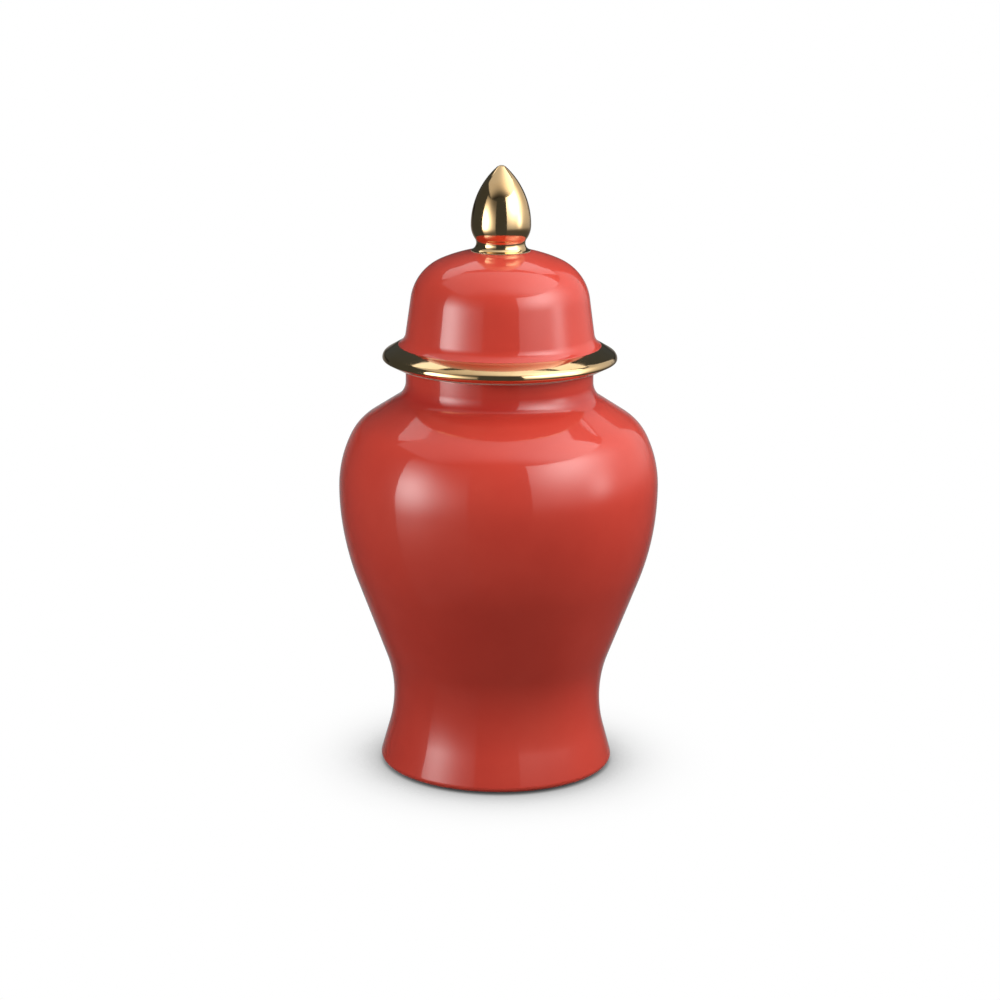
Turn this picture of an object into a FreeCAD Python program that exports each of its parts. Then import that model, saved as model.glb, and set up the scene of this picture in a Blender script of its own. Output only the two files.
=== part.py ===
import FreeCAD, Part

import math
import os

import Sketcher
from FreeCAD import Vector

# A lidded ginger jar in glazed ceramic, standing on the XY plane with its axis on Z.
# Millimetres throughout. Each outline is the half section of a turned shape: radius across, height up.

SIZES = {
    # the hollow body, from the foot up
    "wall": 6.0,
    "pad_thickness": 1.0,
    "recess_depth": 8.0,
    "ring_inner_radius": 72.0,
    "floor_thickness": 8.0,
    "floor_corner": 10.0,
    "foot_edge": 4.0,
    "foot_flare": 15.8,
    "waist_radius": 78.8,
    "waist_height": 52.7,
    "waist_curve": 95.8,
    "belly_radius": 120.1,
    "belly_height": 216.5,
    "belly_lower_curve": 202.0,
    "belly_upper_curve": 85.5,
    "shoulder_height": 254.4,
    "shoulder_curve": 38.0,
    "shoulder_slope": 57.2,
    "neck_radius": 70.1,
    "neck_fillet": 16.0,
    "rim_height": 308.4,
    "rim_round": 2.5,
    # the lid: a domed shell on a flange, with a collar that drops into the neck
    "lid_wall": 5.5,
    "crown_curve": 112.5,
    "crown_height": 396.2,
    "crown_edge_radius": 45.6,
    "dome_curve": 35.8,
    "dome_flare": 8.0,
    "flare_height": 332.0,
    "flare_curve": 11.2,
    "flange_top": 323.9,
    "flange_top_radius": 75.8,
    "flange_radius": 87.6,
    "flange_height": 314.2,
    "flange_round": 5.0,
    "flange_edge": 1.6,
    "flange_under_slope": 27.0,
    "flange_bore_radius": 65.9,
    "ledge_thickness": 6.0,
    "collar_gap": 2.0,
    "collar_wall": 6.0,
    "collar_depth": 20.0,
    "collar_round": 2.0,
    # the finial: a hollow bud on a moulded ring, with a vented spigot through the crown
    "seat_height": 394.0,
    "seat_radius": 21.9,
    "bud_radius": 22.3,
    "bud_height": 413.0,
    "bud_upper_curve": 57.8,
    "bud_lower_curve": 17.6,
    "bud_waist_curve": 5.7,
    "bud_tip": 457.0,
    "bud_wall": 4.5,
    "hollow_top": 448.0,
    "spigot_radius": 5.7,
    "spigot_gap": 0.3,
    "spigot_length": 5.0,
    "vent_radius": 2.5,
    # the felt pads under the foot ring
    "pad_radius": 5.5,
    "pad_circle": 78.0,
}
PADS = 4
PAD_START = 45

# Starting guesses for angles and places that the tangent joins then settle.
BODY_LEAN = 20.6
FOOT_EDGE_RADIUS = 84.4
FLANGE_TOP_SLOPE = 30.0
BUD_WAIST = (23.9, 399.8)
BUD_TURN = 34.4
BUD_TOP_TURN = 47.4
BUD_TIP_ROUND = 5.3


def cell(expression):
    """The expression, with each size's name turned into its cell in the sheet."""
    words = expression.split()
    return " ".join("sizes." + word if word in SIZES else word for word in words)


def polar(centre, radius, degrees):
    angle = math.radians(degrees)
    return centre[0] + radius * math.cos(angle), centre[1] + radius * math.sin(angle)


class Outline:
    """A closed chain of lines and arcs in a sketch on a body's XZ plane.

    It is sketched near its final shape, joined end to end, and then bound to the sheet.
    """

    def __init__(self, body, name):
        self.body = body
        self.sketch = body.newObject("Sketcher::SketchObject", name)
        planes = [item for item in body.Origin.OriginFeatures if item.Role == "XZ_Plane"]
        self.sketch.AttachmentSupport = [(planes[0], "")]
        self.sketch.MapMode = "FlatFace"
        self.chain = []
        self.reached = None

    def start(self, point):
        self.reached = point

    def line(self, point):
        segment = Part.LineSegment(Vector(*self.reached, 0), Vector(*point, 0))
        index = self.sketch.addGeometry(segment, False)
        self.chain.append((index, 1, 2))
        self.reached = point
        return index

    def arc(self, centre, radius, first, last):
        """An arc from one angle to another, in degrees; clockwise when the last is the smaller."""
        low, high = sorted((math.radians(first), math.radians(last)))
        circle = Part.Circle(Vector(*centre, 0), Vector(0, 0, 1), radius)
        index = self.sketch.addGeometry(Part.ArcOfCircle(circle, low, high), False)
        ends = (1, 2) if last > first else (2, 1)
        self.chain.append((index, *ends))
        self.reached = polar(centre, radius, last)
        return index

    def line_and_arc(self, centre, radius, first, last):
        """A line up to an arc's first point, and then the arc."""
        lead = self.line(polar(centre, radius, first))
        return lead, self.arc(centre, radius, first, last)

    def join(self, corners):
        """Join each piece to the next: at a corner after the pieces named, and smoothly elsewhere."""
        for place, (index, _, last) in enumerate(self.chain):
            following, first, _ = self.chain[(place + 1) % len(self.chain)]
            kind = "Coincident" if index in corners else "Tangent"
            self.sketch.addConstraint(Sketcher.Constraint(kind, index, last, following, first))

    def bind(self, constraint, expression):
        number = self.sketch.addConstraint(constraint)
        self.sketch.setExpression(f"Constraints[{number}]", cell(expression))

    def radius(self, index, expression):
        value = self.sketch.Geometry[index].Radius
        self.bind(Sketcher.Constraint("Radius", index, value), expression)

    def across(self, index, point, expression):
        value = self.sketch.getPoint(index, point).x
        self.bind(Sketcher.Constraint("DistanceX", -1, 1, index, point, value), expression)

    def height(self, index, point, expression):
        value = self.sketch.getPoint(index, point).y
        self.bind(Sketcher.Constraint("DistanceY", -1, 1, index, point, value), expression)

    def slope(self, index, expression):
        """The line's direction, in degrees anticlockwise from straight outwards."""
        line = self.sketch.Geometry[index]
        run = line.EndPoint - line.StartPoint
        self.bind(Sketcher.Constraint("Angle", index, math.atan2(run.y, run.x)), expression)

    def level(self, *indices):
        for index in indices:
            self.sketch.addConstraint(Sketcher.Constraint("Horizontal", index))

    def upright(self, *indices):
        for index in indices:
            self.sketch.addConstraint(Sketcher.Constraint("Vertical", index))

    def on_axis(self, index, point):
        self.sketch.addConstraint(Sketcher.Constraint("PointOnObject", index, point, -2))

    def share_centre(self, index, other):
        self.sketch.addConstraint(Sketcher.Constraint("Coincident", index, 3, other, 3))

    def turn(self, kind, name):
        """Turn the outline a full circle about the jar's axis: a Revolution adds, a Groove cuts."""
        feature = self.body.newObject(kind, name)
        feature.Profile = self.sketch
        feature.ReferenceAxis = (self.sketch, ["V_Axis"])
        feature.Angle = 360.0
        self.body.Tip = feature
        return feature


def new_body(doc, name):
    body = doc.addObject("PartDesign::Body", name)
    body.Label = name
    body.Placement = FreeCAD.Placement()
    return body


def make_jar_body(doc):
    """The cast body: one wall of even thickness, from the foot ring up to the neck's rim."""
    body = new_body(doc, "jar_body")
    outline = Outline(body, "wall_section")
    wall = SIZES["wall"]
    under = SIZES["pad_thickness"]
    ceiling = under + SIZES["recess_depth"]
    floor = ceiling + SIZES["floor_thickness"]
    ring = SIZES["ring_inner_radius"]
    edge = SIZES["foot_edge"]
    corner = SIZES["floor_corner"]
    flare = SIZES["foot_flare"]
    waist_curve = SIZES["waist_curve"]
    waist = (SIZES["waist_radius"] + waist_curve, SIZES["waist_height"])
    lower_curve = SIZES["belly_lower_curve"]
    lower = (SIZES["belly_radius"] - lower_curve, SIZES["belly_height"])
    upper_curve = SIZES["belly_upper_curve"]
    upper = (SIZES["belly_radius"] - upper_curve, SIZES["belly_height"])
    turn = math.degrees(math.asin((SIZES["shoulder_height"] - SIZES["belly_height"]) / upper_curve))
    shoulder_curve = SIZES["shoulder_curve"]
    shoulder = polar(upper, upper_curve - shoulder_curve, turn)
    slope = SIZES["shoulder_slope"]
    fillet = SIZES["neck_fillet"]
    brow = polar(shoulder, shoulder_curve + fillet, slope)
    neck_side = SIZES["neck_radius"]
    neck_run = brow[0] - neck_side - fillet
    neck = (neck_side + fillet, brow[1] + neck_run / math.tan(math.radians(slope)))
    rim = SIZES["rim_height"] - SIZES["rim_round"]
    lip = SIZES["rim_round"]
    bore = neck_side - wall
    corner_reach = waist_curve + wall + corner
    dip = math.degrees(math.asin((waist[1] - floor - corner) / corner_reach))

    outline.start((0, ceiling))
    recess_ceiling = outline.line((ring, ceiling))
    recess_side = outline.line((ring, under))
    underside, edge_arc = outline.line_and_arc((FOOT_EDGE_RADIUS, under + edge), edge, -90, flare)
    foot_side, waist_arc = outline.line_and_arc(waist, waist_curve, 180 + flare, 180 - BODY_LEAN)
    _, lower_arc = outline.line_and_arc(lower, lower_curve, -BODY_LEAN, 0)
    upper_arc = outline.arc(upper, upper_curve, 0, turn)
    shoulder_arc = outline.arc(shoulder, shoulder_curve, turn, slope)
    shoulder_side, neck_arc = outline.line_and_arc(neck, fillet, 180 + slope, 180)
    neck_line, rim_outer = outline.line_and_arc((neck_side - lip, rim), lip, 0, 90)
    rim_top, rim_inner = outline.line_and_arc((bore + lip, rim), lip, 90, 180)
    bore_line, inner_neck = outline.line_and_arc(neck, fillet + wall, 180, 180 + slope)
    _, inner_shoulder = outline.line_and_arc(shoulder, shoulder_curve - wall, slope, turn)
    inner_upper = outline.arc(upper, upper_curve - wall, turn, 0)
    inner_lower = outline.arc(lower, lower_curve - wall, 0, -BODY_LEAN)
    _, inner_waist = outline.line_and_arc(waist, waist_curve + wall, 180 - BODY_LEAN, 180 + dip)
    corner_arc = outline.arc(polar(waist, corner_reach, 180 + dip), corner, dip, -90)
    floor_line = outline.line((0, floor))
    axis_line = outline.line((0, ceiling))

    outline.join(corners=(recess_ceiling, recess_side, floor_line, axis_line))
    outline.level(recess_ceiling, underside, rim_top, floor_line)
    outline.upright(recess_side, neck_line, bore_line, axis_line)
    outline.on_axis(recess_ceiling, 1)
    outline.height(recess_ceiling, 1, "pad_thickness + recess_depth")
    outline.across(recess_side, 2, "ring_inner_radius")
    outline.height(recess_side, 2, "pad_thickness")
    outline.radius(edge_arc, "foot_edge")
    outline.slope(foot_side, "90 + foot_flare")
    outline.across(waist_arc, 3, "waist_radius + waist_curve")
    outline.height(waist_arc, 3, "waist_height")
    outline.radius(waist_arc, "waist_curve")
    outline.radius(lower_arc, "belly_lower_curve")
    outline.height(lower_arc, 3, "belly_height")
    outline.across(lower_arc, 2, "belly_radius")
    outline.height(lower_arc, 2, "belly_height")
    outline.radius(upper_arc, "belly_upper_curve")
    outline.height(shoulder_arc, 1, "shoulder_height")
    outline.radius(shoulder_arc, "shoulder_curve")
    outline.slope(shoulder_side, "90 + shoulder_slope")
    outline.radius(neck_arc, "neck_fillet")
    outline.across(neck_line, 2, "neck_radius")
    outline.radius(rim_outer, "rim_round")
    outline.height(rim_top, 1, "rim_height")
    outline.radius(rim_inner, "rim_round")
    outline.across(bore_line, 2, "neck_radius - wall")
    outline.share_centre(inner_neck, neck_arc)
    outline.share_centre(inner_shoulder, shoulder_arc)
    outline.share_centre(inner_upper, upper_arc)
    outline.radius(inner_upper, "belly_upper_curve - wall")
    outline.share_centre(inner_lower, lower_arc)
    outline.share_centre(inner_waist, waist_arc)
    outline.radius(inner_waist, "waist_curve + wall")
    outline.radius(corner_arc, "floor_corner")
    outline.height(floor_line, 2, "pad_thickness + recess_depth + floor_thickness")
    outline.turn("PartDesign::Revolution", "turned_wall")
    return body


def make_lid_dome(doc):
    """The lid's domed shell, with a flat seat and a hole on its crown for the finial."""
    body = new_body(doc, "lid_dome")
    outline = Outline(body, "dome_section")
    wall = SIZES["lid_wall"]
    hole = SIZES["spigot_radius"] + SIZES["spigot_gap"]
    crown_curve = SIZES["crown_curve"]
    crown = (0, SIZES["crown_height"] - crown_curve)
    crown_start = math.degrees(math.asin((SIZES["seat_height"] - crown[1]) / crown_curve))
    seat = polar(crown, crown_curve, crown_start)
    crown_end = math.degrees(math.acos(SIZES["crown_edge_radius"] / crown_curve))
    hole_turn = math.degrees(math.acos(hole / (crown_curve - wall)))
    dome_curve = SIZES["dome_curve"]
    dome = polar(crown, crown_curve - dome_curve, crown_end)
    flare = SIZES["dome_flare"]
    side_top = polar(dome, dome_curve, flare)
    side_drop = side_top[1] - SIZES["flare_height"]
    side_foot = (side_top[0] + side_drop * math.tan(math.radians(flare)), SIZES["flare_height"])
    flare_curve = SIZES["flare_curve"]
    foot = polar(side_foot, flare_curve, flare)
    foot_turn = 180 + math.degrees(math.asin((foot[1] - SIZES["flange_top"]) / flare_curve))
    inner_foot = SIZES["flange_bore_radius"], SIZES["flange_top"]

    outline.start((hole, polar(crown, crown_curve - wall, hole_turn)[1]))
    hole_side = outline.line((hole, seat[1]))
    seat_line = outline.line(seat)
    crown_arc = outline.arc(crown, crown_curve, crown_start, crown_end)
    dome_arc = outline.arc(dome, dome_curve, crown_end, flare)
    side_line = outline.line(side_foot)
    foot_arc = outline.arc(foot, flare_curve, 180 + flare, foot_turn)
    base_line = outline.line(inner_foot)
    inner_side, inner_dome = outline.line_and_arc(dome, dome_curve - wall, flare, crown_end)
    inner_crown = outline.arc(crown, crown_curve - wall, crown_end, hole_turn)

    outline.join(corners=(hole_side, seat_line, foot_arc, base_line, inner_crown))
    outline.upright(hole_side)
    outline.level(seat_line, base_line)
    outline.across(hole_side, 2, "spigot_radius + spigot_gap")
    outline.height(seat_line, 2, "seat_height")
    outline.on_axis(crown_arc, 3)
    outline.height(crown_arc, 3, "crown_height - crown_curve")
    outline.radius(crown_arc, "crown_curve")
    outline.across(crown_arc, 1, "crown_edge_radius")
    outline.radius(dome_arc, "dome_curve")
    outline.slope(side_line, "dome_flare - 90")
    outline.height(side_line, 2, "flare_height")
    outline.radius(foot_arc, "flare_curve")
    outline.height(foot_arc, 2, "flange_top")
    outline.slope(inner_side, "90 + dome_flare")
    outline.share_centre(inner_dome, dome_arc)
    outline.share_centre(inner_crown, crown_arc)
    outline.radius(inner_crown, "crown_curve - lid_wall")
    outline.turn("PartDesign::Revolution", "turned_dome")
    return body


def make_lid_flange(doc):
    """The projecting flange under the dome, with a nosed edge and a ledge that carries the collar."""
    body = new_body(doc, "lid_flange")
    outline = Outline(body, "flange_section")
    top = SIZES["flange_top"]
    under = SIZES["rim_height"]
    ledge = under + SIZES["ledge_thickness"]
    bore = SIZES["flange_bore_radius"]
    inner = SIZES["neck_radius"] - SIZES["wall"] - SIZES["collar_gap"] - SIZES["collar_wall"]
    nose = (SIZES["flange_radius"] - SIZES["flange_round"], SIZES["flange_height"])
    edge = (SIZES["flange_radius"] - SIZES["flange_edge"], SIZES["flange_height"])
    slope = SIZES["flange_under_slope"]
    edge_foot = polar(edge, SIZES["flange_edge"], slope - 90)
    seat_edge = edge_foot[0] - (edge_foot[1] - under) / math.tan(math.radians(slope))

    outline.start((bore, top))
    top_line = outline.line((SIZES["flange_top_radius"], top))
    _, nose_arc = outline.line_and_arc(nose, SIZES["flange_round"], 90 - FLANGE_TOP_SLOPE, 0)
    edge_arc = outline.arc(edge, SIZES["flange_edge"], 0, slope - 90)
    under_line = outline.line((seat_edge, under))
    seat_line = outline.line((inner, under))
    ledge_side = outline.line((inner, ledge))
    ledge_line = outline.line((bore, ledge))
    bore_line = outline.line((bore, top))

    corners = (top_line, under_line, seat_line, ledge_side, ledge_line, bore_line)
    outline.join(corners)
    outline.level(top_line, seat_line, ledge_line)
    outline.upright(ledge_side, bore_line)
    outline.height(top_line, 2, "flange_top")
    outline.across(top_line, 2, "flange_top_radius")
    outline.across(nose_arc, 3, "flange_radius - flange_round")
    outline.height(nose_arc, 3, "flange_height")
    outline.radius(nose_arc, "flange_round")
    outline.height(edge_arc, 3, "flange_height")
    outline.radius(edge_arc, "flange_edge")
    outline.slope(under_line, "flange_under_slope - 180")
    outline.height(seat_line, 2, "rim_height")
    outline.across(seat_line, 2, "neck_radius - wall - collar_gap - collar_wall")
    outline.height(ledge_line, 1, "rim_height + ledge_thickness")
    outline.across(bore_line, 1, "flange_bore_radius")
    outline.turn("PartDesign::Revolution", "turned_flange")
    return body


def make_lid_collar(doc):
    """The ring under the flange that drops into the neck and keeps the lid from sliding off."""
    body = new_body(doc, "lid_collar")
    outline = Outline(body, "collar_section")
    top = SIZES["rim_height"]
    foot = top - SIZES["collar_depth"] + SIZES["collar_round"]
    round_radius = SIZES["collar_round"]
    outer = SIZES["neck_radius"] - SIZES["wall"] - SIZES["collar_gap"]
    inner = outer - SIZES["collar_wall"]

    outline.start((inner, top))
    top_line = outline.line((outer, top))
    outer_line, outer_arc = outline.line_and_arc((outer - round_radius, foot), round_radius, 0, -90)
    foot_line, inner_arc = outline.line_and_arc((inner + round_radius, foot), round_radius, -90, -180)
    inner_line = outline.line((inner, top))

    outline.join(corners=(top_line, inner_line))
    outline.level(top_line, foot_line)
    outline.upright(outer_line, inner_line)
    outline.height(top_line, 2, "rim_height")
    outline.across(top_line, 2, "neck_radius - wall - collar_gap")
    outline.radius(outer_arc, "collar_round")
    outline.height(foot_line, 1, "rim_height - collar_depth")
    outline.radius(inner_arc, "collar_round")
    outline.across(inner_line, 2, "neck_radius - wall - collar_gap - collar_wall")
    outline.turn("PartDesign::Revolution", "turned_collar")
    return body


def make_finial(doc):
    """The bud finial: turned outside, then hollowed through the vent in its spigot."""
    body = new_body(doc, "finial")
    seat = SIZES["seat_height"]
    spigot_foot = seat - SIZES["spigot_length"]
    lower_curve = SIZES["bud_lower_curve"]
    lower = (SIZES["bud_radius"] - lower_curve, SIZES["bud_height"])
    upper_curve = SIZES["bud_upper_curve"]
    upper = (SIZES["bud_radius"] - upper_curve, SIZES["bud_height"])
    waist_fall = (seat - BUD_WAIST[1]) / (SIZES["seat_radius"] - BUD_WAIST[0])
    waist_start = 180 + math.degrees(math.atan(waist_fall))
    tip = (0, SIZES["bud_tip"] - BUD_TIP_ROUND)

    outline = Outline(body, "bud_section")
    outline.start((0, spigot_foot))
    foot_line = outline.line((SIZES["spigot_radius"], spigot_foot))
    spigot_side = outline.line((SIZES["spigot_radius"], seat))
    seat_line = outline.line((SIZES["seat_radius"], seat))
    waist_arc = outline.arc(BUD_WAIST, SIZES["bud_waist_curve"], waist_start, 180 - BUD_TURN)
    lower_arc = outline.arc(lower, lower_curve, -BUD_TURN, 0)
    upper_arc = outline.arc(upper, upper_curve, 0, BUD_TOP_TURN)
    tip_arc = outline.arc(tip, BUD_TIP_ROUND, BUD_TOP_TURN, 90)
    axis_line = outline.line((0, spigot_foot))
    outline.join(corners=(foot_line, spigot_side, seat_line, tip_arc, axis_line))
    outline.level(foot_line, seat_line)
    outline.upright(spigot_side, axis_line)
    outline.on_axis(foot_line, 1)
    outline.height(foot_line, 2, "seat_height - spigot_length")
    outline.across(foot_line, 2, "spigot_radius")
    outline.height(seat_line, 2, "seat_height")
    outline.across(seat_line, 2, "seat_radius")
    outline.radius(waist_arc, "bud_waist_curve")
    outline.radius(lower_arc, "bud_lower_curve")
    outline.height(lower_arc, 3, "bud_height")
    outline.across(lower_arc, 2, "bud_radius")
    outline.height(lower_arc, 2, "bud_height")
    outline.radius(upper_arc, "bud_upper_curve")
    outline.on_axis(tip_arc, 3)
    outline.height(tip_arc, 2, "bud_tip")
    outline.turn("PartDesign::Revolution", "turned_bud")

    wall = SIZES["bud_wall"]
    vent = SIZES["vent_radius"]
    vent_turn = -math.degrees(math.acos((vent - lower[0]) / (lower_curve - wall)))
    top = SIZES["hollow_top"]
    top_turn = math.degrees(math.asin((top - upper[1]) / (upper_curve - wall)))
    cavity = Outline(body, "cavity_section")
    cavity.start((0, spigot_foot))
    vent_mouth = cavity.line((vent, spigot_foot))
    vent_side, lower_wall = cavity.line_and_arc(lower, lower_curve - wall, vent_turn, 0)
    upper_wall = cavity.arc(upper, upper_curve - wall, 0, top_turn)
    top_line = cavity.line((0, top))
    cavity_axis = cavity.line((0, spigot_foot))
    cavity.join(corners=(vent_mouth, vent_side, upper_wall, top_line, cavity_axis))
    cavity.level(vent_mouth, top_line)
    cavity.upright(vent_side, cavity_axis)
    cavity.on_axis(vent_mouth, 1)
    cavity.height(vent_mouth, 2, "seat_height - spigot_length")
    cavity.across(vent_mouth, 2, "vent_radius")
    cavity.radius(lower_wall, "bud_lower_curve - bud_wall")
    cavity.height(lower_wall, 3, "bud_height")
    cavity.across(lower_wall, 2, "bud_radius - bud_wall")
    cavity.height(lower_wall, 2, "bud_height")
    cavity.radius(upper_wall, "bud_upper_curve - bud_wall")
    cavity.height(top_line, 2, "hollow_top")
    cavity.turn("PartDesign::Groove", "cast_hollow")
    return body


def make_foot_pads(doc):
    """Felt discs, evenly spaced under the bare clay of the foot ring."""
    pads = []
    for number in range(1, PADS + 1):
        name = f"foot_pad_{number}"
        angle = PAD_START + 360 * (number - 1) // PADS
        pad = doc.addObject("Part::Cylinder", name)
        pad.Label = name
        pad.setExpression("Radius", cell("pad_radius"))
        pad.setExpression("Height", cell("pad_thickness"))
        pad.setExpression("Placement.Base.x", f"sizes.pad_circle * cos({angle} deg)")
        pad.setExpression("Placement.Base.y", f"sizes.pad_circle * sin({angle} deg)")
        pads.append(pad)
    return pads


def make_sheet(doc):
    sheet = doc.addObject("Spreadsheet::Sheet", "sizes")
    for row, (name, value) in enumerate(SIZES.items(), start=1):
        sheet.set(f"A{row}", name)
        sheet.set(f"B{row}", str(value))
        sheet.setAlias(f"B{row}", name)
    doc.recompute()


def check(doc, nodes):
    """Stop on a failed feature, a loose sketch, a cut that took nothing, or a shape that isn't sound."""
    for item in doc.Objects:
        if "Invalid" in item.State or "Error" in item.State:
            raise RuntimeError(f"{item.Name} failed: {item.State}")
        if item.isDerivedFrom("Sketcher::SketchObject") and not item.FullyConstrained:
            raise RuntimeError(f"{item.Name} is not fully constrained")
    for node in nodes:
        if node.Shape.isNull() or not node.Shape.isValid() or len(node.Shape.Solids) != 1:
            raise RuntimeError(f"{node.Label} is not one sound solid")
    if doc.cast_hollow.Shape.Volume >= doc.turned_bud.Shape.Volume:
        raise RuntimeError("the finial's hollow took nothing away")


def main():
    doc = FreeCAD.newDocument("ginger_jar")
    make_sheet(doc)
    makers = (make_jar_body, make_lid_dome, make_lid_flange, make_lid_collar, make_finial)
    nodes = [make(doc) for make in makers] + make_foot_pads(doc)
    doc.recompute()
    check(doc, nodes)
    os.makedirs("parts", exist_ok=True)
    for node in nodes:
        node.Shape.exportStep(os.path.join("parts", node.Label + ".step"))
        print(f"{node.Label}: {node.Shape.Volume / 1000:.1f} cm3")


main()
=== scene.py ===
import math
import random

import bpy
from mathutils import Matrix, Vector


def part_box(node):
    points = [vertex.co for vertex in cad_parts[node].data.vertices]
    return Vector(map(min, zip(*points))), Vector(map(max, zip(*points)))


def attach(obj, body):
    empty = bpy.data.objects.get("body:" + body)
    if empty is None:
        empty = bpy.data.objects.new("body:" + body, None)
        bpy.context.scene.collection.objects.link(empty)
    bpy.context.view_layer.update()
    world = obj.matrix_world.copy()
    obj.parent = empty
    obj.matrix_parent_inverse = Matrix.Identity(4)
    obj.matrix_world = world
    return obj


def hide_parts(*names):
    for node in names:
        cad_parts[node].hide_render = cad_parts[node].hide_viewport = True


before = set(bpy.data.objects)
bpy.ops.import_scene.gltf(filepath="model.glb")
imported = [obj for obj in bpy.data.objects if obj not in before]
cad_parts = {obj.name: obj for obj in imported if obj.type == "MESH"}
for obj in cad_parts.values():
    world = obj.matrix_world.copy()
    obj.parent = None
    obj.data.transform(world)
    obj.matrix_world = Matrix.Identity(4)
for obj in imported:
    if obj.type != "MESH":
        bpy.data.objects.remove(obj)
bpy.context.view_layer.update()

MM = 0.001
SEGMENTS = 256
PAD_SEGMENTS = 96
ARC_STEP = 1.8
LINE_STEP = 2.5

# The sections' driving sizes, in millimetres and degrees, as the CAD model has them.
# A radius or a height is measured from the jar's axis or its base, and a slope from level.
WALL = 6.0
PAD_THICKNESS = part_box("foot_pad_1")[1].z / MM
RECESS_CEILING = 9.0
RING_INNER_RADIUS = 72.0
FLOOR_HEIGHT = 17.0
FLOOR_CORNER = 10.0
FOOT_EDGE = 4.0
FOOT_FLARE = 15.8
RECESS_FILLET, RING_INNER_ROUND = 2.0, 1.0
WAIST_RADIUS, WAIST_HEIGHT, WAIST_CURVE = 78.8, 52.7, 95.8
BELLY_RADIUS, BELLY_HEIGHT = 120.1, 216.5
BELLY_LOWER_CURVE, BELLY_UPPER_CURVE = 202.0, 85.5
SHOULDER_HEIGHT, SHOULDER_CURVE, SHOULDER_SLOPE = 254.4, 38.0, 57.2
NECK_RADIUS, NECK_FILLET = 70.1, 16.0
RIM_HEIGHT, RIM_ROUND = 308.4, 2.5

LID_WALL = 5.5
CROWN_HEIGHT, CROWN_CURVE, CROWN_EDGE_RADIUS = 396.2, 112.5, 45.6
DOME_CURVE, DOME_FLARE = 35.8, 8.0
FLARE_HEIGHT, FLARE_CURVE = 332.0, 11.2
FLANGE_TOP, FLANGE_TOP_RADIUS = 323.9, 75.8
FLANGE_RADIUS, FLANGE_HEIGHT = 87.6, 314.2
FLANGE_NOSE, FLANGE_EDGE, FLANGE_UNDER_SLOPE = 5.0, 1.6, 27.0
FLANGE_BORE, LEDGE_HEIGHT = 65.9, 314.4
COLLAR_OUTER, COLLAR_INNER, COLLAR_DEPTH, COLLAR_ROUND = 62.1, 56.1, 20.0, 2.0
COLLAR_MIDDLE = 59

SEAT_HEIGHT, SEAT_RADIUS = 394.0, 21.9
BUD_RADIUS, BUD_HEIGHT, BUD_TIP = 22.3, 413.0, 457.0
BUD_UPPER_CURVE, BUD_LOWER_CURVE, BUD_WAIST_CURVE, BUD_TIP_ROUND = 57.8, 17.6, 5.7, 5.3
BUD_WAIST_TURN = -34.4
BUD_WALL, HOLLOW_TOP = 4.5, 448.0
SPIGOT_RADIUS, SPIGOT_HOLE, SPIGOT_FOOT, VENT_RADIUS = 5.7, 6.0, 389.0, 2.5

# Where the finishes stop: the coral glaze stands proud of the bare clay at this turn of the
# foot's edge, and the gold covers this share of the flange's underside and tucks under the dome.
GLAZE_THICKNESS = 0.3
GLAZE_STOP, GLAZE_LAP = -48, 5
GOLD_UNDER = 0.6
GOLD_TUCK = 1.5

# The slow unevenness of the fired walls: how far each piece strays, and its random seed.
JAR_WAVES = {"seed": 11, "size": 0.03}
DOME_WAVES = {"seed": 5, "size": 0.02}
FLANGE_WAVES = {"seed": 7, "size": 0.02}
COLLAR_WAVES = {"seed": 3, "size": 0.02}
BUD_WAVES = {"seed": 2, "size": 0.008}


# ---------------------------------------------------------------- outlines
# Half sections, as lists of (radius, height) that run up the outside and down the inside.

def polar(centre, radius, degrees):
    """The point at a turn, anticlockwise from level, round a centre."""
    angle = math.radians(degrees)
    return centre[0] + radius * math.cos(angle), centre[1] + radius * math.sin(angle)


def arc(centre, radius, first, last, step=ARC_STEP):
    """Points along an arc, no more than `step` apart."""
    length = abs(math.radians(last - first)) * radius
    count = max(6, math.ceil(length / step))
    return [polar(centre, radius, first + (last - first) * i / count) for i in range(count + 1)]


def line(*corners, step=LINE_STEP):
    """Points along straight runs from corner to corner, no more than `step` apart."""
    points = [corners[0]]
    for start, end in zip(corners, corners[1:]):
        count = max(1, math.ceil(math.dist(start, end) / step))
        points += [(start[0] + (end[0] - start[0]) * i / count,
                    start[1] + (end[1] - start[1]) * i / count) for i in range(1, count + 1)]
    return points


def rounded(corners):
    """Straight runs whose corners between the ends, each (radius, height, rounding), become arcs."""
    points = [corners[0][:2]]
    for before, corner, after in zip(corners, corners[1:], corners[2:]):
        here = Vector(corner[:2])
        back = (Vector(before[:2]) - here).normalized()
        ahead = (Vector(after[:2]) - here).normalized()
        half = back.angle(ahead) / 2
        centre = here + (back + ahead).normalized() * (corner[2] / math.sin(half))
        reach = corner[2] / math.tan(half)
        first = here + back * reach - centre
        last = here + ahead * reach - centre
        start = math.degrees(math.atan2(first.y, first.x))
        sweep = math.degrees(math.atan2(first.x * last.y - first.y * last.x, first.dot(last)))
        bend = arc(centre, corner[2], start, start + sweep, 0.4)
        points += line(points[-1], bend[0])[1:] + bend[1:]
    return points + line(points[-1], corners[-1][:2])[1:]


def lean_between(inner, inner_radius, outer, outer_radius):
    """The direction, in degrees, square to the straight run from a bulge to a hollow curve."""
    across = Vector(outer) - Vector(inner)
    turn = math.acos((inner_radius + outer_radius) / across.length)
    return math.degrees(math.atan2(across.y, across.x) + turn)


# ---------------------------------------------------------------- meshes

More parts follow.
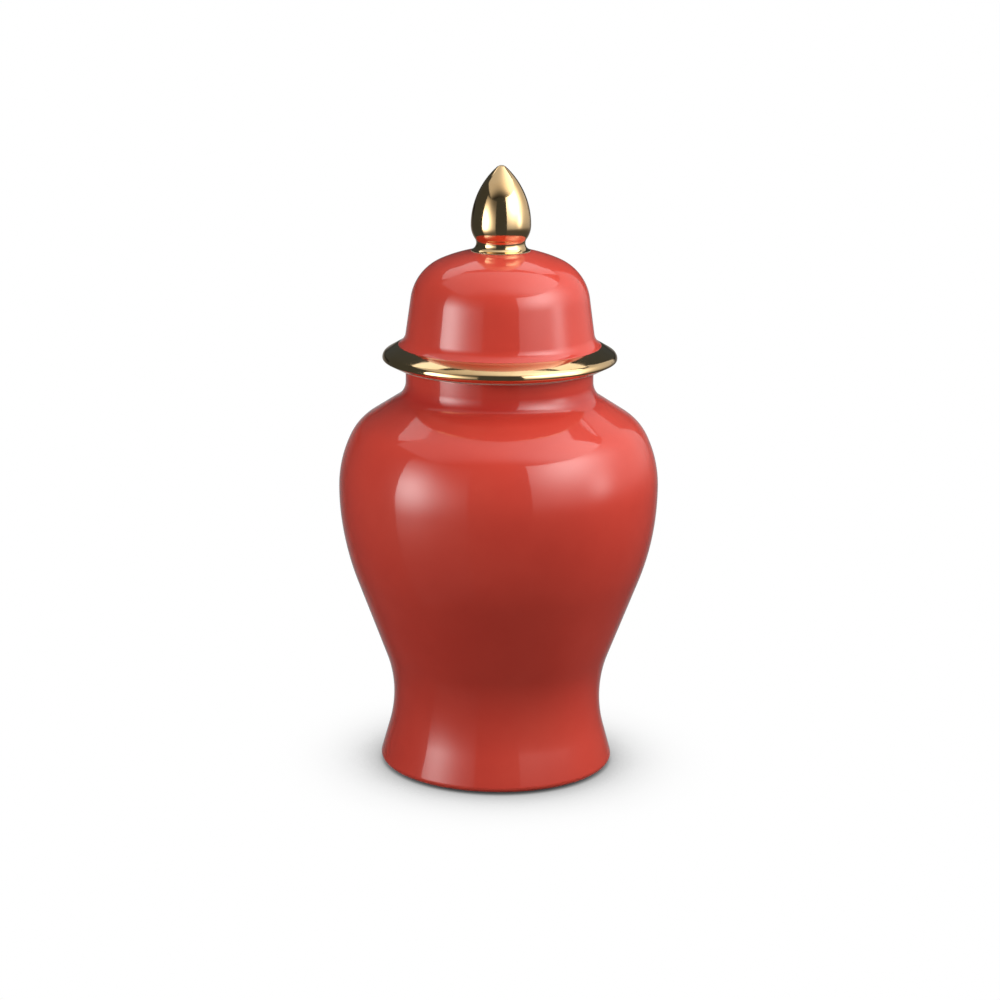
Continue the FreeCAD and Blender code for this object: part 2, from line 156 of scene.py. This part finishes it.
def unevenness(seed, size):
    """The slow change of radius, by angle and height, that a cast and fired wall has."""
    draw = random.Random(seed)
    waves = [(draw.choice((1, 2, 2, 3, 3, 4, 5)), draw.uniform(0, math.tau),
              draw.uniform(50, 140), draw.uniform(0, math.tau)) for _ in range(9)]

    def change(angle, height):
        return size * sum(math.cos(turns * angle + phase)
                          * math.sin(math.tau * height / length + offset)
                          for turns, phase, length, offset in waves)
    return change


def turned(name, stretches, materials, uneven=None, segments=SEGMENTS):
    """A mesh turned about Z from (points, material number) stretches laid end to end.

    A path that ends where it began closes on itself, and a point on the axis becomes a pole.
    """
    path = []
    skins = []
    for points, skin in stretches:
        meets = path and math.dist(path[-1], points[0]) < 1e-6
        for point in points[1 if meets else 0:]:
            if path:
                skins.append(skin)
            path.append(point)
    closed = math.dist(path[0], path[-1]) < 1e-6
    if closed:
        path.pop()
    vertices = []
    rows = []
    for radius, height in path:
        if radius < 1e-6:
            rows.append([len(vertices)] * segments)
            vertices.append((0, 0, height * MM))
            continue
        rows.append(list(range(len(vertices), len(vertices) + segments)))
        for k in range(segments):
            angle = math.tau * k / segments
            reach = radius + (uneven(angle, height) if uneven else 0)
            vertices.append((reach * math.cos(angle) * MM,
                             reach * math.sin(angle) * MM,
                             height * MM))
    faces = []
    face_skins = []
    for i in range(len(path) if closed else len(path) - 1):
        low, high = rows[i], rows[(i + 1) % len(rows)]
        for k in range(segments):
            following = (k + 1) % segments
            corners = list(dict.fromkeys((low[k], low[following], high[following], high[k])))
            faces.append(corners)
            face_skins.append(skins[i])
    return mesh_object(name, vertices, faces, materials, face_skins)


def mesh_object(name, vertices, faces, materials, face_skins=None):
    """A smooth-shaded object in the scene, each face with its material's number."""
    mesh = bpy.data.meshes.new(name)
    mesh.from_pydata(vertices, [], faces)
    for material in materials:
        mesh.materials.append(material)
    if face_skins:
        mesh.polygons.foreach_set("material_index", face_skins)
    mesh.polygons.foreach_set("use_smooth", [True] * len(faces))
    mesh.update()
    made = bpy.data.objects.new(name, mesh)
    bpy.context.scene.collection.objects.link(made)
    return made


# ---------------------------------------------------------------- materials

CORAL_THICK, CORAL_PLAIN, CORAL_THIN = (0.625, 0.052, 0.032), (0.675, 0.062, 0.039), (0.720, 0.076, 0.048)
CORAL_POOLED, CORAL_PIT, CORAL_MIST = (0.560, 0.036, 0.024), (0.420, 0.030, 0.020), (0.66, 0.10, 0.07)
GOLD_DEEP, GOLD_PALE = (0.78, 0.52, 0.25), (0.86, 0.62, 0.34)
CREAM_DARK, CREAM_LIGHT = (0.70, 0.62, 0.50), (0.79, 0.72, 0.61)
CLAY_DARK, CLAY_LIGHT, CLAY_SPECK = (0.56, 0.47, 0.36), (0.72, 0.63, 0.51), (0.36, 0.28, 0.20)
FELT_DARK, FELT_LIGHT = (0.010, 0.009, 0.008), (0.055, 0.050, 0.045)

# Where the glaze pools under the neck, and where overspray drifts in over the rim: the middle
# of each band and its half width, in metres up the jar.
POOL_BAND = (0.2885, 0.010)
MIST_BAND = (0.308, 0.030)


class Shader:
    """A material's node tree, with short calls for the nodes that the materials here use."""

    def __init__(self, name):
        self.material = bpy.data.materials.new(name)
        self.material.use_nodes = True
        self.tree = self.material.node_tree
        self.surface = self.tree.nodes["Principled BSDF"]
        self.output = self.tree.nodes["Material Output"]
        self.place = self.node("ShaderNodeTexCoord").outputs["Object"]

    def node(self, kind, **settings):
        made = self.tree.nodes.new(kind)
        for name, value in settings.items():
            setattr(made, name, value)
        return made

    def link(self, source, target):
        self.tree.links.new(source, target)

    def set(self, **values):
        """Constants on the surface shader's own sockets."""
        for name, value in values.items():
            self.surface.inputs[name.replace("_", " ")].default_value = value

    def feed(self, name, source):
        """A surface socket that varies over the piece."""
        self.link(source, self.surface.inputs[name])

    def noise(self, scale, detail=4.0, rough=0.5, stretch=(1, 1, 1), distortion=0.0):
        """Cloudy noise from 0 to 1, with scale in patches to the metre."""
        mapping = self.node("ShaderNodeMapping")
        mapping.inputs["Scale"].default_value = stretch
        self.link(self.place, mapping.inputs["Vector"])
        made = self.node("ShaderNodeTexNoise")
        made.inputs["Scale"].default_value = scale
        made.inputs["Detail"].default_value = detail
        made.inputs["Roughness"].default_value = rough
        made.inputs["Distortion"].default_value = distortion
        self.link(mapping.outputs["Vector"], made.inputs["Vector"])
        return made.outputs["Fac"]

    def cells(self, scale):
        """The distance to the nearest of many scattered points."""
        made = self.node("ShaderNodeTexVoronoi")
        made.inputs["Scale"].default_value = scale
        self.link(self.place, made.inputs["Vector"])
        return made.outputs["Distance"]

    def height(self):
        """The height in metres above the jar's base."""
        made = self.node("ShaderNodeSeparateXYZ")
        self.link(self.place, made.inputs[0])
        return made.outputs["Z"]

    def ramp(self, source, *stops):
        """Greys or colours along a value, as (position, value) pairs."""
        made = self.node("ShaderNodeValToRGB")
        elements = made.color_ramp.elements
        while len(elements) < len(stops):
            elements.new(0.5)
        for element, (position, value) in zip(elements, stops):
            element.position = position
            colour = value if isinstance(value, tuple) else (value, value, value)
            element.color = (*colour, 1)
        self.link(source, made.inputs["Fac"])
        return made.outputs["Color"]

    def spread(self, source, low, high, new_low, new_high):
        """A value carried from one range to another, and held at its ends."""
        made = self.node("ShaderNodeMapRange")
        made.inputs["From Min"].default_value = low
        made.inputs["From Max"].default_value = high
        made.inputs["To Min"].default_value = new_low
        made.inputs["To Max"].default_value = new_high
        self.link(source, made.inputs["Value"])
        return made.outputs["Result"]

    def band(self, middle, half_width):
        """One at a height in metres, falling to nothing half_width above and below it."""
        away = self.node("ShaderNodeMath", operation="SUBTRACT")
        self.link(self.height(), away.inputs[0])
        away.inputs[1].default_value = middle
        size = self.node("ShaderNodeMath", operation="ABSOLUTE")
        self.link(away.outputs[0], size.inputs[0])
        return self.spread(size.outputs[0], 0, half_width, 1, 0)

    def mix(self, amount, first, second):
        """Two colours, mixed by an amount that varies over the surface."""
        made = self.node("ShaderNodeMix", data_type="RGBA")
        self.link(amount, made.inputs["Factor"])
        sockets = [socket for socket in made.inputs if socket.type == "RGBA"]
        for socket, value in zip(sockets, (first, second)):
            if isinstance(value, tuple):
                socket.default_value = (*value, 1)
            else:
                self.link(value, socket)
        return next(socket for socket in made.outputs if socket.type == "RGBA")

    def bump(self, *layers):
        """Reliefs laid one over another, each (source, strength, depth in metres)."""
        normal = None
        for source, strength, depth in layers:
            made = self.node("ShaderNodeBump")
            made.inputs["Strength"].default_value = strength
            made.inputs["Distance"].default_value = depth
            self.link(source, made.inputs["Height"])
            if normal:
                self.link(normal, made.inputs["Normal"])
            normal = made.outputs["Normal"]
        self.feed("Normal", normal)


def coral_glaze():
    """Opaque coral glaze: cloudy tone, deeper where it pools at the neck, orange peel, pinholes."""
    shader = Shader("coral_glaze")
    clouds = shader.ramp(shader.noise(9.0, 5.0, 0.55),
                         (0.30, CORAL_THICK), (0.52, CORAL_PLAIN), (0.74, CORAL_THIN))
    pooled = shader.mix(shader.band(*POOL_BAND), clouds, CORAL_POOLED)
    pinholes = shader.ramp(shader.cells(95.0), (0.000, 1.0), (0.018, 0.0))
    shader.feed("Base Color", shader.mix(pinholes, pooled, CORAL_PIT))
    shader.set(IOR=1.5, Coat_Weight=0.3, Coat_Roughness=0.3)
    shader.feed("Roughness", shader.spread(shader.noise(60.0, 3.0), 0.3, 0.7, 0.03, 0.07))
    shader.bump((shader.noise(34.0, 2.0, 0.4), 0.10, 0.0012),
                (shader.noise(420.0, 2.0, 0.5), 0.04, 0.0002),
                (pinholes, -0.30, 0.0002))
    return shader.material


def gold_lustre():
    """Brushed-on gold over the glaze: thin and thick strokes with faint drag lines."""
    shader = Shader("gold_lustre")
    tone = shader.ramp(shader.noise(30.0, 4.0, 0.6), (0.30, GOLD_DEEP), (0.70, GOLD_PALE))
    shader.feed("Base Color", tone)
    shader.set(Metallic=1.0)
    strokes = shader.noise(90.0, 3.0, 0.5, stretch=(1, 1, 7))
    shader.feed("Roughness", shader.spread(strokes, 0.3, 0.7, 0.05, 0.12))
    shader.bump((shader.noise(55.0, 2.0, 0.4), 0.10, 0.0010), (strokes, 0.05, 0.0001))
    return shader.material


def clear_glaze():
    """The thin colourless glaze over cream clay that lines the inside, with coral overspray."""
    shader = Shader("clear_glaze")
    cream = shader.ramp(shader.noise(14.0, 5.0, 0.6), (0.3, CREAM_DARK), (0.7, CREAM_LIGHT))
    mist = shader.noise(420.0, 3.0, 0.7)
    near_rim = shader.band(*MIST_BAND)
    speckle = shader.node("ShaderNodeMath", operation="MULTIPLY")
    shader.link(shader.ramp(mist, (0.50, 0.0), (0.62, 0.8)), speckle.inputs[0])
    shader.link(near_rim, speckle.inputs[1])
    shader.feed("Base Color", shader.mix(speckle.outputs[0], cream, CORAL_MIST))
    shader.set(IOR=1.5)
    shader.feed("Roughness", shader.spread(shader.noise(80.0, 3.0), 0.3, 0.7, 0.10, 0.22))
    shader.bump((shader.noise(60.0, 3.0), 0.25, 0.001), (mist, 0.10, 0.0002))
    return shader.material


def bare_clay():
    """Fired, unglazed earthenware: warm cream with dark grog specks and a sandy grain."""
    shader = Shader("bare_clay")
    tone = shader.ramp(shader.noise(40.0, 6.0, 0.65), (0.3, CLAY_DARK), (0.7, CLAY_LIGHT))
    specks = shader.ramp(shader.noise(900.0, 2.0), (0.30, 1.0), (0.36, 0.0))
    shader.feed("Base Color", shader.mix(specks, tone, CLAY_SPECK))
    shader.feed("Roughness", shader.spread(shader.noise(300.0, 3.0), 0.3, 0.7, 0.75, 0.95))
    shader.bump((shader.noise(1400.0, 4.0, 0.7), 0.5, 0.0002))
    return shader.material


def felt():
    """Dark pressed felt with a nap of tangled fibres."""
    shader = Shader("felt")
    fibres = shader.noise(1600.0, 5.0, 0.7, distortion=1.5)
    tone = shader.ramp(fibres, (0.3, FELT_DARK), (0.7, FELT_LIGHT))
    shader.feed("Base Color", tone)
    shader.set(Roughness=1.0, Sheen_Weight=0.4)
    shader.bump((fibres, 0.8, 0.0004))
    return shader.material


CORAL = coral_glaze()
GOLD = gold_lustre()
CLEAR = clear_glaze()
CLAY = bare_clay()
FELT = felt()


# ---------------------------------------------------------------- the jar

def jar_shell():
    """The cast body: bare foot ring, coral outside, bare seat on the rim, clear glaze inside."""
    waist = (WAIST_RADIUS + WAIST_CURVE, WAIST_HEIGHT)
    lower = (BELLY_RADIUS - BELLY_LOWER_CURVE, BELLY_HEIGHT)
    upper = (BELLY_RADIUS - BELLY_UPPER_CURVE, BELLY_HEIGHT)
    lean = lean_between(lower, BELLY_LOWER_CURVE, waist, WAIST_CURVE)
    turn = math.degrees(math.asin((SHOULDER_HEIGHT - BELLY_HEIGHT) / BELLY_UPPER_CURVE))
    shoulder = polar(upper, BELLY_UPPER_CURVE - SHOULDER_CURVE, turn)
    brow = polar(shoulder, SHOULDER_CURVE + NECK_FILLET, SHOULDER_SLOPE)
    neck_run = brow[0] - NECK_RADIUS - NECK_FILLET
    neck = (NECK_RADIUS + NECK_FILLET, brow[1] + neck_run / math.tan(math.radians(SHOULDER_SLOPE)))
    lip = RIM_HEIGHT - RIM_ROUND
    outer_lip = (NECK_RADIUS - RIM_ROUND, lip)
    inner_lip = (NECK_RADIUS - WALL + RIM_ROUND, lip)
    edge_height = PAD_THICKNESS + FOOT_EDGE
    flare = Vector(polar((0, 0), 1, FOOT_FLARE))
    edge_reach = flare.dot(Vector(waist)) - WAIST_CURVE - FOOT_EDGE
    edge = ((edge_reach - flare.y * edge_height) / flare.x, edge_height)
    corner_reach = WAIST_CURVE + WALL + FLOOR_CORNER
    dip = math.degrees(math.asin((WAIST_HEIGHT - FLOOR_HEIGHT - FLOOR_CORNER) / corner_reach))
    corner = polar(waist, corner_reach, 180 + dip)

    foot = (rounded([(0, RECESS_CEILING), (RING_INNER_RADIUS, RECESS_CEILING, RECESS_FILLET),
                     (RING_INNER_RADIUS, PAD_THICKNESS, RING_INNER_ROUND),
                     (edge[0], PAD_THICKNESS)])
            + arc(edge, FOOT_EDGE - GLAZE_THICKNESS, -90, GLAZE_STOP, 0.4))
    outside = (arc(edge, FOOT_EDGE, GLAZE_STOP + GLAZE_LAP, FOOT_FLARE, 0.4)
               + arc(waist, WAIST_CURVE, 180 + FOOT_FLARE, 180 + lean)
               + arc(lower, BELLY_LOWER_CURVE, lean, 0)
               + arc(upper, BELLY_UPPER_CURVE, 0, turn)[1:]
               + arc(shoulder, SHOULDER_CURVE, turn, SHOULDER_SLOPE)[1:]
               + arc(neck, NECK_FILLET, 180 + SHOULDER_SLOPE, 180, 0.8)
               + arc(outer_lip, RIM_ROUND, 0, 85, 0.4))
    seat = [outside[-1], (NECK_RADIUS - RIM_ROUND, RIM_HEIGHT), (inner_lip[0], RIM_HEIGHT)]
    inside = (arc(inner_lip, RIM_ROUND, 90, 180, 0.4)
              + arc(neck, NECK_FILLET + WALL, 180, 180 + SHOULDER_SLOPE)
              + arc(shoulder, SHOULDER_CURVE - WALL, SHOULDER_SLOPE, turn)
              + arc(upper, BELLY_UPPER_CURVE - WALL, turn, 0)[1:]
              + arc(lower, BELLY_LOWER_CURVE - WALL, 0, lean)[1:]
              + arc(waist, WAIST_CURVE + WALL, 180 + lean, 180 + dip)
              + arc(corner, FLOOR_CORNER, dip, -90, 0.8)
              + line((corner[0], FLOOR_HEIGHT), (0, FLOOR_HEIGHT), step=6)[1:])
    foot[-1:] = [foot[-1], outside[0]]
    return turned("jar_shell", [(foot, 1), (outside, 0), (seat, 1), (inside, 2)],
                  (CORAL, CLAY, CLEAR), unevenness(**JAR_WAVES))


# ---------------------------------------------------------------- the lid

def dome_shell():
    """The lid's dome: coral outside, clear glaze inside, a bare flat seat for the finial."""
    crown = (0, CROWN_HEIGHT - CROWN_CURVE)
    seat_turn = math.degrees(math.asin((SEAT_HEIGHT - crown[1]) / CROWN_CURVE))
    edge_turn = math.degrees(math.acos(CROWN_EDGE_RADIUS / CROWN_CURVE))
    hole_turn = math.degrees(math.acos(SPIGOT_HOLE / (CROWN_CURVE - LID_WALL)))
    dome = polar(crown, CROWN_CURVE - DOME_CURVE, edge_turn)
    side_top = polar(dome, DOME_CURVE, DOME_FLARE)
    drop = side_top[1] - FLARE_HEIGHT
    side_foot = (side_top[0] + drop * math.tan(math.radians(DOME_FLARE)), FLARE_HEIGHT)
    foot = polar(side_foot, FLARE_CURVE, DOME_FLARE)
    foot_turn = 180 + math.degrees(math.asin((foot[1] - FLANGE_TOP) / FLARE_CURVE))
    outside = (arc(foot, FLARE_CURVE, foot_turn, 180 + DOME_FLARE, 0.5)
               + arc(dome, DOME_CURVE, DOME_FLARE, edge_turn)
               + arc(crown, CROWN_CURVE, edge_turn, seat_turn)[1:])
    seat = [outside[-1], *line((SEAT_RADIUS - 1, SEAT_HEIGHT), (SPIGOT_HOLE, SEAT_HEIGHT))]
    inside = (line((SPIGOT_HOLE, SEAT_HEIGHT), polar(crown, CROWN_CURVE - LID_WALL, hole_turn))
              + arc(crown, CROWN_CURVE - LID_WALL, hole_turn, edge_turn)[1:]
              + arc(dome, DOME_CURVE - LID_WALL, edge_turn, DOME_FLARE)[1:]
              + [(FLANGE_BORE, FLANGE_TOP)])
    base = [(FLANGE_BORE, FLANGE_TOP), outside[0]]
    return turned("lid_dome_shell", [(outside, 0), (seat, 1), (inside, 2), (base, 1)],
                  (CORAL, CLAY, CLEAR), unevenness(**DOME_WAVES))


def flange_ring():
    """The lid's flange: gold over the nosing, bare clay where it rests on the neck."""
    nose = (FLANGE_RADIUS - FLANGE_NOSE, FLANGE_HEIGHT)
    edge = (FLANGE_RADIUS - FLANGE_EDGE, FLANGE_HEIGHT)
    away = Vector(nose) - Vector((FLANGE_TOP_RADIUS, FLANGE_TOP))
    slope = math.degrees(math.asin(FLANGE_NOSE / away.length) - math.atan2(-away.y, away.x))
    edge_foot = polar(edge, FLANGE_EDGE, FLANGE_UNDER_SLOPE - 90)
    fall = (edge_foot[1] - RIM_HEIGHT) / math.tan(math.radians(FLANGE_UNDER_SLOPE))
    gold_stop = (edge_foot[0] - GOLD_UNDER * fall,
                 RIM_HEIGHT + (1 - GOLD_UNDER) * (edge_foot[1] - RIM_HEIGHT))
    under = (edge_foot[0] - fall, RIM_HEIGHT)
    tuck = (FLANGE_TOP_RADIUS - GOLD_TUCK, FLANGE_TOP)
    top = (line(tuck, (FLANGE_TOP_RADIUS, FLANGE_TOP))
           + arc(nose, FLANGE_NOSE, 90 + slope, 0, 0.3)
           + arc(edge, FLANGE_EDGE, 0, FLANGE_UNDER_SLOPE - 90, 0.2)[1:]
           + line(edge_foot, gold_stop)[1:])
    top.reverse()
    rest = rounded([tuck, (FLANGE_BORE, FLANGE_TOP, 0.3),
                    (FLANGE_BORE, LEDGE_HEIGHT, 2.0), (COLLAR_INNER, LEDGE_HEIGHT, 1.5),
                    (COLLAR_INNER, RIM_HEIGHT, 0.5), (*under, 0.8), gold_stop])
    return turned("lid_flange_ring", [(top, 0), (rest, 1)], (GOLD, CLAY),
                  unevenness(**FLANGE_WAVES))


def collar_ring():
    """The bare ring under the flange that drops into the neck."""
    seam = (COLLAR_MIDDLE, RIM_HEIGHT)
    section = rounded([seam, (COLLAR_INNER, RIM_HEIGHT, 0.3),
                       (COLLAR_INNER, RIM_HEIGHT - COLLAR_DEPTH, COLLAR_ROUND),
                       (COLLAR_OUTER, RIM_HEIGHT - COLLAR_DEPTH, COLLAR_ROUND),
                       (COLLAR_OUTER, RIM_HEIGHT, 0.3), seam])
    return turned("lid_collar_ring", [(section, 0)], (CLAY,), unevenness(**COLLAR_WAVES))


def finial_bud():
    """The hollow bud: gold outside, bare clay on its spigot, in its vent and within."""
    lower = (BUD_RADIUS - BUD_LOWER_CURVE, BUD_HEIGHT)
    upper = (BUD_RADIUS - BUD_UPPER_CURVE, BUD_HEIGHT)
    tip = (0, BUD_TIP - BUD_TIP_ROUND)
    tip_turn = math.degrees(math.atan2(tip[1] - upper[1], tip[0] - upper[0]))
    waist = polar(lower, BUD_LOWER_CURVE + BUD_WAIST_CURVE, BUD_WAIST_TURN)
    seat_turn = 180 + math.degrees(math.atan2(waist[1] - SEAT_HEIGHT, waist[0] - SEAT_RADIUS))
    hollow_lower = BUD_LOWER_CURVE - BUD_WALL
    hollow_upper = BUD_UPPER_CURVE - BUD_WALL
    vent_turn = -math.degrees(math.acos((VENT_RADIUS - lower[0]) / hollow_lower))
    top_turn = math.degrees(math.asin((HOLLOW_TOP - upper[1]) / hollow_upper))
    gold = (arc(waist, BUD_WAIST_CURVE, seat_turn, 180 + BUD_WAIST_TURN, 0.4)
            + arc(lower, BUD_LOWER_CURVE, BUD_WAIST_TURN, 0, 0.7)[1:]
            + arc(upper, BUD_UPPER_CURVE, 0, tip_turn, 0.7)[1:]
            + arc(tip, BUD_TIP_ROUND, tip_turn, 90, 0.3)[1:])
    gold[-1] = (0, BUD_TIP)
    within = ([(0, HOLLOW_TOP)]
              + arc(upper, hollow_upper, top_turn, 0)
              + arc(lower, hollow_lower, 0, vent_turn)[1:]
              + [(VENT_RADIUS, SPIGOT_FOOT + 0.5), (VENT_RADIUS + 0.5, SPIGOT_FOOT)])
    spigot = rounded([within[-1], (SPIGOT_RADIUS, SPIGOT_FOOT, 0.8),
                      (SPIGOT_RADIUS, SEAT_HEIGHT, 0.3), gold[0]])
    return turned("finial_bud", [(within, 1), (spigot, 1), (gold, 0)], (GOLD, CLAY),
                  unevenness(**BUD_WAVES))


# ---------------------------------------------------------------- the pads

def foot_pad(name, seed):
    """A pressed felt disc, cut a little out of round, with soft edges."""
    low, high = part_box(name)
    centre = (low + high) / 2
    radius = (high.x - low.x) / 2 / MM
    thick = high.z / MM
    side = radius - 0.15
    section = ([(0, 0.02)]
               + rounded([(0.5, 0.02), (side, 0.02, 0.35), (side, thick, 0.45), (0.5, thick)])
               + [(0, thick)])
    draw = random.Random(seed)
    phases = [draw.uniform(0, math.tau) for _ in range(3)]

    def fuzz(angle, height):
        return 0.035 * sum(math.sin(turns * angle + phase)
                           for turns, phase in zip((5, 17, 41), phases))
    pad = turned(name + "_felt", [(section, 0)], (FELT,), fuzz, PAD_SEGMENTS)
    pad.data.transform(Matrix.Translation((centre.x, centre.y, 0)))
    return pad


def place(piece, body, node):
    """A piece that stands for a CAD node and moves with a body, in place of the hidden CAD node."""
    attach(piece, body)
    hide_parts(node)


place(jar_shell(), "jar", "jar_body")
place(dome_shell(), "lid", "lid_dome")
place(flange_ring(), "lid", "lid_flange")
place(collar_ring(), "lid", "lid_collar")
place(finial_bud(), "lid", "finial")
for number in range(1, 5):
    pad_name = f"foot_pad_{number}"
    place(foot_pad(pad_name, number), "jar", pad_name)


# ---------------------------------------------------------------- studio
# Soft walls of light stand round the jar. Azimuth 0 is the camera's side and grows towards +X.

# Glows are radiances, where white is 1. Lengths are in metres, azimuths and elevations in degrees.

WALL_DISTANCE = 1.35
EYE_HEIGHT = 0.25
CEILING_HEIGHT = 1.46
PANEL_FOOT = -1.3

STRIP_AZIMUTH, STRIP_ELEVATION = -65, 7
BOX_AZIMUTH, BOX_ELEVATION = 58, 34
SIDE_STRIP_AZIMUTH, SIDE_STRIP_ELEVATION = 75, 8
LEFT_FILL, RIGHT_FILL = 0.12, 0.08
HIGH_BACK_GLOW, LOW_BACK_GLOW = 1.4, 0.4
CEILING_LEFT_GLOW, CEILING_RIGHT_GLOW = 0.62, 1.9
DARK_ROOM = (0.055, 0.063, 0.066, 1)
WHITE = (1, 1, 1, 1)

FLOOR_REACH = 12.0
# How far the floor's painted contact shadow looks for the jar, and the distances from the axis over which
# it fades to plain white.
SHADOW_REACH = 0.09
SHADOW_FADE = (0.3, 0.5)

CAMERA_PLACE = (-0.037, -1.93707, 0.68792)
CAMERA_PITCH, CAMERA_ROLL = 14.03, 0.28
CAMERA_LENS, CAMERA_SENSOR = 95.07, 36.0
CAMERA_SHIFT = 0.0506


def bell(value, centre, width):
    """One at the centre, falling smoothly to nothing."""
    return math.exp(-((value - centre) / width) ** 2)


def rise(value, middle, width):
    """A smooth step from nothing to one."""
    return 1 / (1 + math.exp((middle - value) / width))


def light_wall(name, azimuths, heights, glow, steps=(40, 32)):
    """A curved wall whose glow, by azimuth and by elevation seen from the jar, no camera sees."""
    across, up = steps
    vertices = []
    light = []
    for j in range(up + 1):
        z = heights[0] + (heights[1] - heights[0]) * j / up
        elevation = math.degrees(math.atan2(z - EYE_HEIGHT, WALL_DISTANCE))
        for i in range(across + 1):
            azimuth = azimuths[0] + (azimuths[1] - azimuths[0]) * i / across
            angle = math.radians(azimuth)
            vertices.append((WALL_DISTANCE * math.sin(angle), -WALL_DISTANCE * math.cos(angle), z))
            light.append(glow(azimuth, elevation))
    return glowing_grid(name, vertices, across, up, light)


def light_ceiling(name, across_x, across_y, height, glow, steps=20):
    """A level sheet overhead whose glow, by place, no camera sees."""
    vertices = []
    light = []
    for j in range(steps + 1):
        y = across_y[0] + (across_y[1] - across_y[0]) * j / steps
        for i in range(steps + 1):
            x = across_x[0] + (across_x[1] - across_x[0]) * i / steps
            vertices.append((x, y, height))
            light.append(glow(x, y))
    return glowing_grid(name, vertices, steps, steps, light)


def glowing_grid(name, vertices, across, up, light):
    """A grid of faces that glows by an amount given at each vertex."""
    faces = []
    for j in range(up):
        for i in range(across):
            first = j * (across + 1) + i
            faces.append((first, first + 1, first + across + 2, first + across + 1))
    shader = Shader(name)
    attribute = shader.node("ShaderNodeAttribute", attribute_name="glow")
    emission = shader.node("ShaderNodeEmission")
    shader.link(attribute.outputs["Fac"], emission.inputs["Strength"])
    shader.link(emission.outputs[0], shader.output.inputs["Surface"])
    wall = mesh_object(name, vertices, faces, [shader.material])
    layer = wall.data.attributes.new("glow", "FLOAT", "POINT")
    layer.data.foreach_set("value", light)
    wall.visible_camera = False
    return wall


def left_glow(azimuth, elevation):
    """A strip light's hot spot, low on a tall soft box."""
    across = 4.2 * bell(azimuth, STRIP_AZIMUTH, 16) + 2.4 * bell(azimuth, STRIP_AZIMUTH, 30)
    return LEFT_FILL + across * bell(elevation, STRIP_ELEVATION, 16)


def right_glow(azimuth, elevation):
    """A large soft box, hottest high up, with a low strip beside it, over a dim reflector."""
    box = 0.55 + 5.4 * bell(azimuth, BOX_AZIMUTH, 32) * bell(elevation, BOX_ELEVATION, 19)
    strip = 2.2 * bell(azimuth, SIDE_STRIP_AZIMUTH, 10) * bell(elevation, SIDE_STRIP_ELEVATION, 9)
    return RIGHT_FILL + (box + strip) * rise(elevation, -2, 2.5)


def high_back_glow(_azimuth, _elevation):
    """An even light behind, too high for the gold's flat top to mirror."""
    return HIGH_BACK_GLOW


def low_back_glow(azimuth, elevation):
    """A dim fill behind the jar, below the directions that the gold's flat top mirrors."""
    return LOW_BACK_GLOW * bell(azimuth, 180, 30) * rise(-elevation, -4, 2.5)


def overhead_glow(x, y):
    """A ceiling of silk, brighter towards the right and fading out towards the camera."""
    across = CEILING_LEFT_GLOW + CEILING_RIGHT_GLOW * rise(x, 0.35, 0.25)
    return across * rise(y, -0.85, 0.14)


light_wall("left_panel", (-76, -22), (PANEL_FOOT, 1.25), left_glow)
light_wall("right_panel", (22, 146), (PANEL_FOOT, 1.45), right_glow)
light_wall("back_panel", (135, 240), (1.5, 2.3), high_back_glow)
light_wall("low_back_panel", (135, 225), (PANEL_FOOT, 0.5), low_back_glow)
light_ceiling("overhead_panel", (-1.35, 1.5), (-1.3, 0.5), CEILING_HEIGHT, overhead_glow)


def make_world():
    """White for the camera, and nearly dark for everything that the jar reflects."""
    world = bpy.data.worlds.new("studio")
    world.use_nodes = True
    bpy.context.scene.world = world
    tree = world.node_tree
    paths = tree.nodes.new("ShaderNodeLightPath")
    shade = tree.nodes.new("ShaderNodeMix")
    shade.data_type = "RGBA"
    dark, white = [socket for socket in shade.inputs if socket.type == "RGBA"]
    dark.default_value = DARK_ROOM
    white.default_value = WHITE
    tree.links.new(paths.outputs["Is Camera Ray"], shade.inputs["Factor"])
    seen = next(socket for socket in shade.outputs if socket.type == "RGBA")
    tree.links.new(seen, tree.nodes["Background"].inputs["Color"])


def make_floor():
    """A glowing white sweep with a painted contact shadow close to the jar, and no painted shade where
    the light walls cross it.
    """
    reach = FLOOR_REACH
    shader = Shader("pale_floor")
    # Painted contact shadow: the floor's glow is darkened by how closely the jar's surfaces hem it in,
    # through this ramp of greys.
    near = shader.node("ShaderNodeAmbientOcclusion", samples=16)
    near.inputs["Distance"].default_value = SHADOW_REACH
    white = shader.ramp(near.outputs["AO"], (0.0, 0.02), (0.45, 0.30), (0.65, 0.58),
                        (0.75, 0.81), (0.85, 0.93), (0.97, 1.0))
    outward = shader.node("ShaderNodeVectorMath", operation="LENGTH")
    shader.link(shader.place, outward.inputs[0])
    beyond = shader.spread(outward.outputs["Value"], *SHADOW_FADE, 0, 1)
    shine = shader.node("ShaderNodeEmission")
    shader.link(shader.mix(beyond, white, (1.0, 1.0, 1.0)), shine.inputs["Color"])
    shader.link(shine.outputs[0], shader.output.inputs["Surface"])
    corners = [(-reach, -reach, 0), (reach, -reach, 0), (reach, reach, 0), (-reach, reach, 0)]
    floor = mesh_object("floor", corners, [(0, 1, 2, 3)], [shader.material])
    floor.visible_glossy = False
    floor.visible_diffuse = False


def make_camera():
    """The photo's viewpoint, fitted to the jar's outline."""
    data = bpy.data.cameras.new("camera")
    data.sensor_width = CAMERA_SENSOR
    data.lens = CAMERA_LENS
    data.shift_x = CAMERA_SHIFT
    camera = bpy.data.objects.new("camera", data)
    bpy.context.scene.collection.objects.link(camera)
    camera.matrix_world = (Matrix.Translation(CAMERA_PLACE)
                           @ Matrix.Rotation(math.radians(90 - CAMERA_PITCH), 4, "X")
                           @ Matrix.Rotation(math.radians(CAMERA_ROLL), 4, "Z"))
    bpy.context.scene.camera = camera


make_world()
make_floor()
make_camera()
bpy.context.scene.view_settings.view_transform = "Standard"
